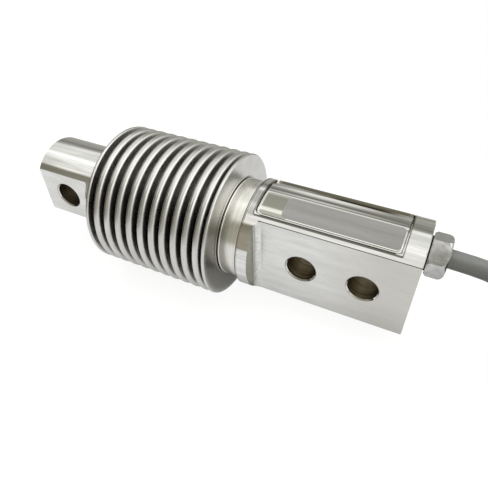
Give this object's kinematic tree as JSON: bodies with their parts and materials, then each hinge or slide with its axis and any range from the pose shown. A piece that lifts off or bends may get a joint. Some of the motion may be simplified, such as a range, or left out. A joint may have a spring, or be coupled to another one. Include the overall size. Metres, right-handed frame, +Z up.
{
  "type": "strain gauge load cell",
  "caption": "Bending-beam load cell sealed by a steel bellows, with a flat mounting block, a drilled load end, a cable gland and a coiled-up grey cable.",
  "frame": {"origin": "on the surface that the cell lies on, below the middle of the cell without its cable", "axes": "+X along the cell from its load end to its cable end, +Z up through the nameplate, +Y out of the rear mounting face"},
  "size_m": [0.291, 0.0468, 0.0434],
  "materials": {
    "machined_steel": "turned and milled stainless steel",
    "formed_steel": "satin formed stainless steel",
    "cover_steel": "polished",
    "plate_aluminium": "satin grey",
    "gland_steel": "satin",
    "gauge_foil": "amber film with foil grid",
    "gauge_wire": "enamelled copper",
    "green_laminate": "circuit board lacquer",
    "resistor_ceramic": "matte",
    "black_rubber": "matte",
    "cable_jacket": "smooth satin",
    "strap_fabric": "woven hook-and-loop strap",
    "core_red": "satin",
    "core_black": "satin",
    "core_green": "satin",
    "core_white": "satin"
  },
  "bodies": {
    "root": {"measuring_body": "machined_steel", "bellows": "formed_steel", "load_side_ring": "machined_steel", "cavity_cover": "cover_steel", "nameplate": "plate_aluminium", "strain_gauge_front_load": "gauge_foil", "strain_gauge_front_block": "gauge_foil", "strain_gauge_rear_load": "gauge_foil", "strain_gauge_rear_block": "gauge_foil", "gauge_wire_front_load": "gauge_wire", "gauge_wire_front_block": "gauge_wire", "gauge_wire_rear_load": "gauge_wire", "gauge_wire_rear_block": "gauge_wire", "compensation_board": "green_laminate", "trim_resistor_1": "resistor_ceramic", "trim_resistor_2": "resistor_ceramic", "trim_resistor_3": "resistor_ceramic", "gland_stem": "gland_steel", "gland_o_ring": "black_rubber", "seal_grommet": "black_rubber", "gland_nut": "gland_steel", "core_red": "core_red", "core_black": "core_black", "core_green": "core_green", "core_white": "core_white", "cable": "cable_jacket", "cable_hank": "cable_jacket", "cable_tail": "cable_jacket", "cable_tie": "strap_fabric", "lead_red": "core_red", "lead_black": "core_black", "lead_green": "core_green", "lead_white": "core_white"}
  },
  "joints": []
}
